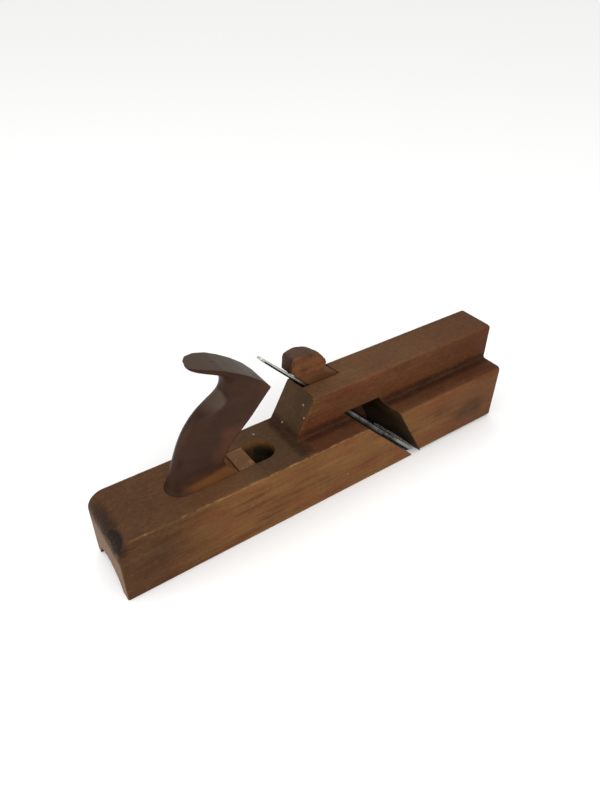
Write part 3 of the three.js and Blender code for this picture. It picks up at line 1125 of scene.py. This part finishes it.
@dataclass
class Tote:
    """The open handle: a flat toe side with crisp corners, a round palm side and a broad horn."""

    foot_top: float = 58.0
    palm_foot: Stretch = (50.0, 60.0)
    seat_end: Stretch = (52.0, 60.0)
    foot_rise: Stretch = (60.0, 88.0)
    horn_foot: float = 104.0
    dent: tuple[Place, Place] = ((84.0, 25.0, 135.0), (2.6, 1.1, 2.0))
    middle: float = STOCK_WIDTH / 2
    crease: float = 0.95
    tip_crease: float = 0.5
    foot_crease: float = 0.5
    corner_station: int = 12
    foot_station: int = 3
    tip_stations: int = 3
    stations: list[Station] = field(
        default_factory=lambda: [
            Station((43.4, 35.2), (91.7, 35.2), 10.2, 10.4, 0.22),
            Station((43.4, 48.0), (91.7, 48.0), 10.2, 10.4, 0.22),
            Station((43.5, 51.4), (91.6, 51.0), 10.2, 10.4, 0.22),
            Station((46.0, 58.0), (84.0, 57.6), 10.0, 10.0, 0.34),
            Station((48.4, 65.0), (81.0, 65.0), 10.0, 9.5, 0.46),
            Station((51.5, 74.5), (86.0, 74.6), 10.0, 9.6, 0.50),
            Station((54.6, 82.5), (92.0, 81.0), 10.2, 9.9, 0.50),
            Station((58.4, 90.0), (97.6, 86.9), 10.5, 10.0, 0.50),
            Station((63.2, 96.4), (103.2, 92.9), 10.8, 10.0, 0.50),
            Station((68.6, 101.4), (107.6, 98.4), 11.1, 9.9, 0.48),
            Station((75.4, 105.4), (111.2, 103.0), 11.4, 9.8, 0.46),
            Station((82.4, 109.0), (114.2, 106.8), 11.7, 9.7, 0.44),
            Station((87.0, 114.2), (116.8, 110.0), 11.9, 9.7, 0.44),
            Station((88.4, 120.4), (110.2, 117.2), 12.2, 10.0, 0.50),
            Station((86.4, 125.6), (101.6, 124.2), 12.4, 10.6, 0.60),
            Station((81.6, 128.8), (93.4, 129.6), 12.4, 11.0, 0.70),
            Station((76.0, 131.2), (85.2, 134.2), 12.2, 10.8, 0.75),
            Station((71.2, 133.2), (77.0, 137.4), 11.0, 9.2, 0.75),
            Station((67.8, 135.2), (70.4, 138.9), 8.4, 6.6, 0.75),
            Station((66.6, 137.0), (67.2, 138.8), 4.4, 3.2, 0.75),
        ]
    )

    def build(self) -> bpy.types.Object:
        """Builds the tote as a loft through its stations.

        Returns:
            The finished piece.
        """
        bm = bmesh.new()
        crease = bm.edges.layers.float.new("crease_edge")
        rings = [station.ring(self.middle) for station in self.stations]
        tip = len(rings) - self.tip_stations
        loop = bmesh.ops.create_circle(bm, segments=len(rings[0]), radius=1)["verts"]
        for vert, point in zip(loop, rings[0]):
            vert.co = point
        bmesh.ops.contextual_create(bm, geom=loop)
        for number, ring in enumerate(rings[1:], start=1):
            risen = self.rise(bm, loop, ring)
            for corner in (1, -1):
                edge = bm.edges.get((loop[corner], risen[corner]))
                edge[crease] = self.crease if number < tip else self.tip_crease
            if number == self.corner_station:
                for end in (1, -1):
                    bm.edges.get((risen[0], risen[end]))[crease] = self.crease
            if number == self.foot_station:
                for first, second in ((1, 2), (2, 3), (-1, -2), (-2, -3)):
                    bm.edges.get((risen[first], risen[second]))[crease] = self.foot_crease
            loop = risen
        bmesh.ops.contextual_create(bm, geom=loop)
        bmesh.ops.recalc_face_normals(bm, faces=bm.faces)
        for face in bm.faces:
            face.smooth = True
        piece = object_of("tote_handle", bm)
        fine = piece.modifiers.new("fine", "SUBSURF")
        fine.levels = fine.render_levels = 3
        return dress(piece, ToteFinish().material(self), "tote", Body.STOCK)

    def rise(
        self, bm: bmesh.types.BMesh, loop: list[bmesh.types.BMVert], ring: list[Vector]
    ) -> list[bmesh.types.BMVert]:
        """Extrudes the open end of the loft to the next station.

        Args:
            bm: The loft.
            loop: The vertices round its open end, in order.
            ring: The next outline, in the same order.

        Returns:
            The vertices round the new open end.
        """
        edges = [bm.edges.get((a, b)) for a, b in zip(loop, loop[1:] + loop[:1])]
        made = bmesh.ops.extrude_edge_only(bm, edges=edges)["geom"]
        fresh = {item for item in made if isinstance(item, bmesh.types.BMVert)}
        risen = []
        for vert, point in zip(loop, ring):
            twin = next(
                edge.other_vert(vert) for edge in vert.link_edges if edge.other_vert(vert) in fresh
            )
            twin.co = point
            risen.append(twin)
        return risen


@dataclass
class Filler:
    """The paler block in front of the tote's foot."""

    rounding: float = 0.5
    grid_spacing: float = 1.5
    unevenness: float = 0.25
    wave: float = 4.0

    def edge_width(self, edge: bmesh.types.BMEdge) -> float:
        """Rounds every sharp edge alike."""
        return self.rounding if turn_of(edge) > SHARP_TURN else 0.0

    def depth(self, at: Vector) -> float:
        """Gives the dents of the block, in millimetres outwards."""
        return self.unevenness * (noise.noise(at / (self.wave * MM)) - 0.8)

    def work(self, bm: bmesh.types.BMesh) -> None:
        """Weathers the rounded shape."""
        grid(bm, self.grid_spacing)
        weather(bm, self.depth)

    def build(self) -> bpy.types.Object:
        """Builds the block.

        Returns:
            The finished piece.
        """
        copy = merged_copy("tote_slot_filler")
        piece = soften(copy, "filler_block", self.edge_width, segments=3)
        rework(piece, self.work)
        return dress(
            piece, FillerFinish().material(), "tote_slot_filler", Body.STOCK
        )


@dataclass
class Iron:
    """The cutting iron, with its long edges barely rounded.

    Its lengths are measured up the bed from the bed's foot.
    """

    rounding: float = 0.25
    rounded_turns: Stretch = (40.0, 120.0)
    laminate: float = 2.3
    # Height on the tang's near side where the painted shade below meets the painted highlight above.
    tang_light_shade_line: float = 1.5
    shoulder: Stretch = (85.0, 95.0)
    rubbed_end: Stretch = (36.0, 24.0)
    tip: float = 157.0

    def edge_width(self, edge: bmesh.types.BMEdge) -> float:
        """Rounds the iron's edges, but leaves the cutting edge sharp."""
        blunt, keen = self.rounded_turns
        return self.rounding if blunt < turn_of(edge) < keen else 0.0

    def build(self) -> bpy.types.Object:
        """Builds the iron.

        Returns:
            The finished piece.
        """
        piece = soften(merged_copy("iron"), "cutting_iron", self.edge_width, segments=2)
        return dress(piece, IronFinish().material(self), "iron", Body.IRON)


@dataclass
class Wedge:
    """The wedge, with its battered head."""

    rounding: float = 0.7
    head_rounding: float = 1.6
    grid_spacing: float = 1.6
    batter: float = 0.55
    wave: float = 6.0
    head_foot: float = STOCK_HEIGHT + 4

    def edge_width(self, edge: bmesh.types.BMEdge) -> float:
        """Rounds the head more than the rest.

        Args:
            edge: An edge of the merged copy.

        Returns:
            The rounding in millimetres.
        """
        if turn_of(edge) < SHARP_TURN:
            return 0.0
        height = min(vert.co.z for vert in edge.verts) / MM
        return self.head_rounding if height > self.head_foot + 2 else self.rounding

    def depth(self, at: Vector) -> float:
        """Gives the dents of the head.

        Args:
            at: A point of the surface.

        Returns:
            How far it stands out, in millimetres.
        """
        head = min(1.0, max(0.0, (at.z / MM - self.head_foot) / 8))
        rough = noise.fractal(at / (self.wave * MM), 0.9, 2.1, 3)
        return self.batter * head * (rough - 0.7)

    def work(self, bm: bmesh.types.BMesh) -> None:
        """Batters the rounded shape."""
        grid(bm, self.grid_spacing)
        weather(bm, self.depth)

    def build(self) -> bpy.types.Object:
        """Builds the wedge.

        Returns:
            The finished piece.
        """
        piece = soften(merged_copy("wedge"), "wedge_bar", self.edge_width, segments=3)
        rework(piece, self.work)
        return dress(piece, WedgeFinish().material(self), "wedge", Body.WEDGE)


# ---- Studio -------------------------------------------------------------------------------


@dataclass(frozen=True)
class Lamp:
    """A square lamp that faces the plane: its place and side in metres, its power in watts."""

    name: str
    at: Place
    side: float
    power: float

    def hang(self) -> bpy.types.Object:
        """Hangs the lamp.

        Returns:
            The lamp.
        """
        data = bpy.data.lights.new(self.name, "AREA")
        data.size = self.side
        data.energy = self.power
        lamp = bpy.data.objects.new(self.name, data)
        lamp.location = self.at
        lamp.rotation_euler = (-Vector(self.at)).to_track_quat("-Z", "Y").to_euler()
        bpy.context.scene.collection.objects.link(lamp)
        return lamp


@dataclass
class Studio:
    """A white floor, soft light from above and from the heel side, and the camera.

    Places and lengths are in metres, angles in degrees, and the lens in millimetres.
    """

    floor_size: float = 16.0
    overhead: float = 1.05
    horizon: float = 0.38
    eye: tuple[float, float, float] = (-0.2150, -0.2759, 0.3408)
    yaw: float = 54.4845
    pitch: float = 37.6517
    roll: float = 0.9023
    lens: float = 28.35
    sensor: float = 36.0
    lamps: tuple[Lamp, ...] = (
        Lamp("lamp_front", (-0.5, -1.2, 0.9), side=0.9, power=12),
        Lamp("lamp_heel", (-1.4, 0.1, 0.5), side=0.8, power=7),
    )

    def floor(self) -> bpy.types.Object:
        """Lays the floor under the plane.

        Returns:
            The floor.
        """
        bm = bmesh.new()
        bmesh.ops.create_grid(bm, x_segments=1, y_segments=1, size=self.floor_size / 2)
        bmesh.ops.translate(bm, verts=bm.verts, vec=(0, 0, STOCK_LOW.z - 0.05 * MM))
        piece = object_of("studio_floor", bm)
        piece.data.materials.append(FloorFinish().material())
        return piece

    def sky(self) -> bpy.types.World:
        """Makes a sky that is bright overhead and dimmer towards the horizon.

        Returns:
            The sky.
        """
        world = bpy.data.worlds.new("studio")
        world.use_nodes = True
        tree = Tree(world.node_tree)
        background = next(node for node in world.node_tree.nodes if node.type == "BACKGROUND")
        height = tree.split(tree.node("ShaderNodeTexCoord", output="Generated"))[2]
        strength = self.horizon + height.step(0.0, 0.8) * (self.overhead - self.horizon)
        background.inputs["Color"].default_value = (1, 1, 1, 1)
        tree.feed(strength, background.inputs["Strength"])
        return world

    def camera(self) -> bpy.types.Object:
        """Sets up the camera.

        Returns:
            The camera.
        """
        data = bpy.data.cameras.new("viewer")
        data.lens = self.lens
        data.sensor_width = self.sensor
        viewer = bpy.data.objects.new("viewer", data)
        turn = (
            Matrix.Rotation(math.radians(self.yaw - 90), 4, "Z")
            @ Matrix.Rotation(math.radians(90 - self.pitch), 4, "X")
            @ Matrix.Rotation(math.radians(self.roll), 4, "Z")
        )
        viewer.matrix_world = Matrix.Translation(self.eye) @ turn
        bpy.context.scene.collection.objects.link(viewer)
        return viewer

    def build(self) -> None:
        """Sets up the floor, the sky, the lamps and the camera."""
        scene = bpy.context.scene
        scene.view_settings.view_transform = "Standard"
        self.floor()
        scene.world = self.sky()
        for lamp in self.lamps:
            lamp.hang()
        scene.camera = self.camera()


def main() -> None:
    """Builds the plane, the floor, the light and the camera."""
    logging.basicConfig(level=logging.INFO, format="%(name)s %(message)s")
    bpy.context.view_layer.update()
    Studio().build()
    for part in (Stock(), Tote(), Filler(), Iron(), Wedge()):
        piece = part.build()
        LOG.info("built %s", piece.name)


if __name__ == "__main__":
    main()
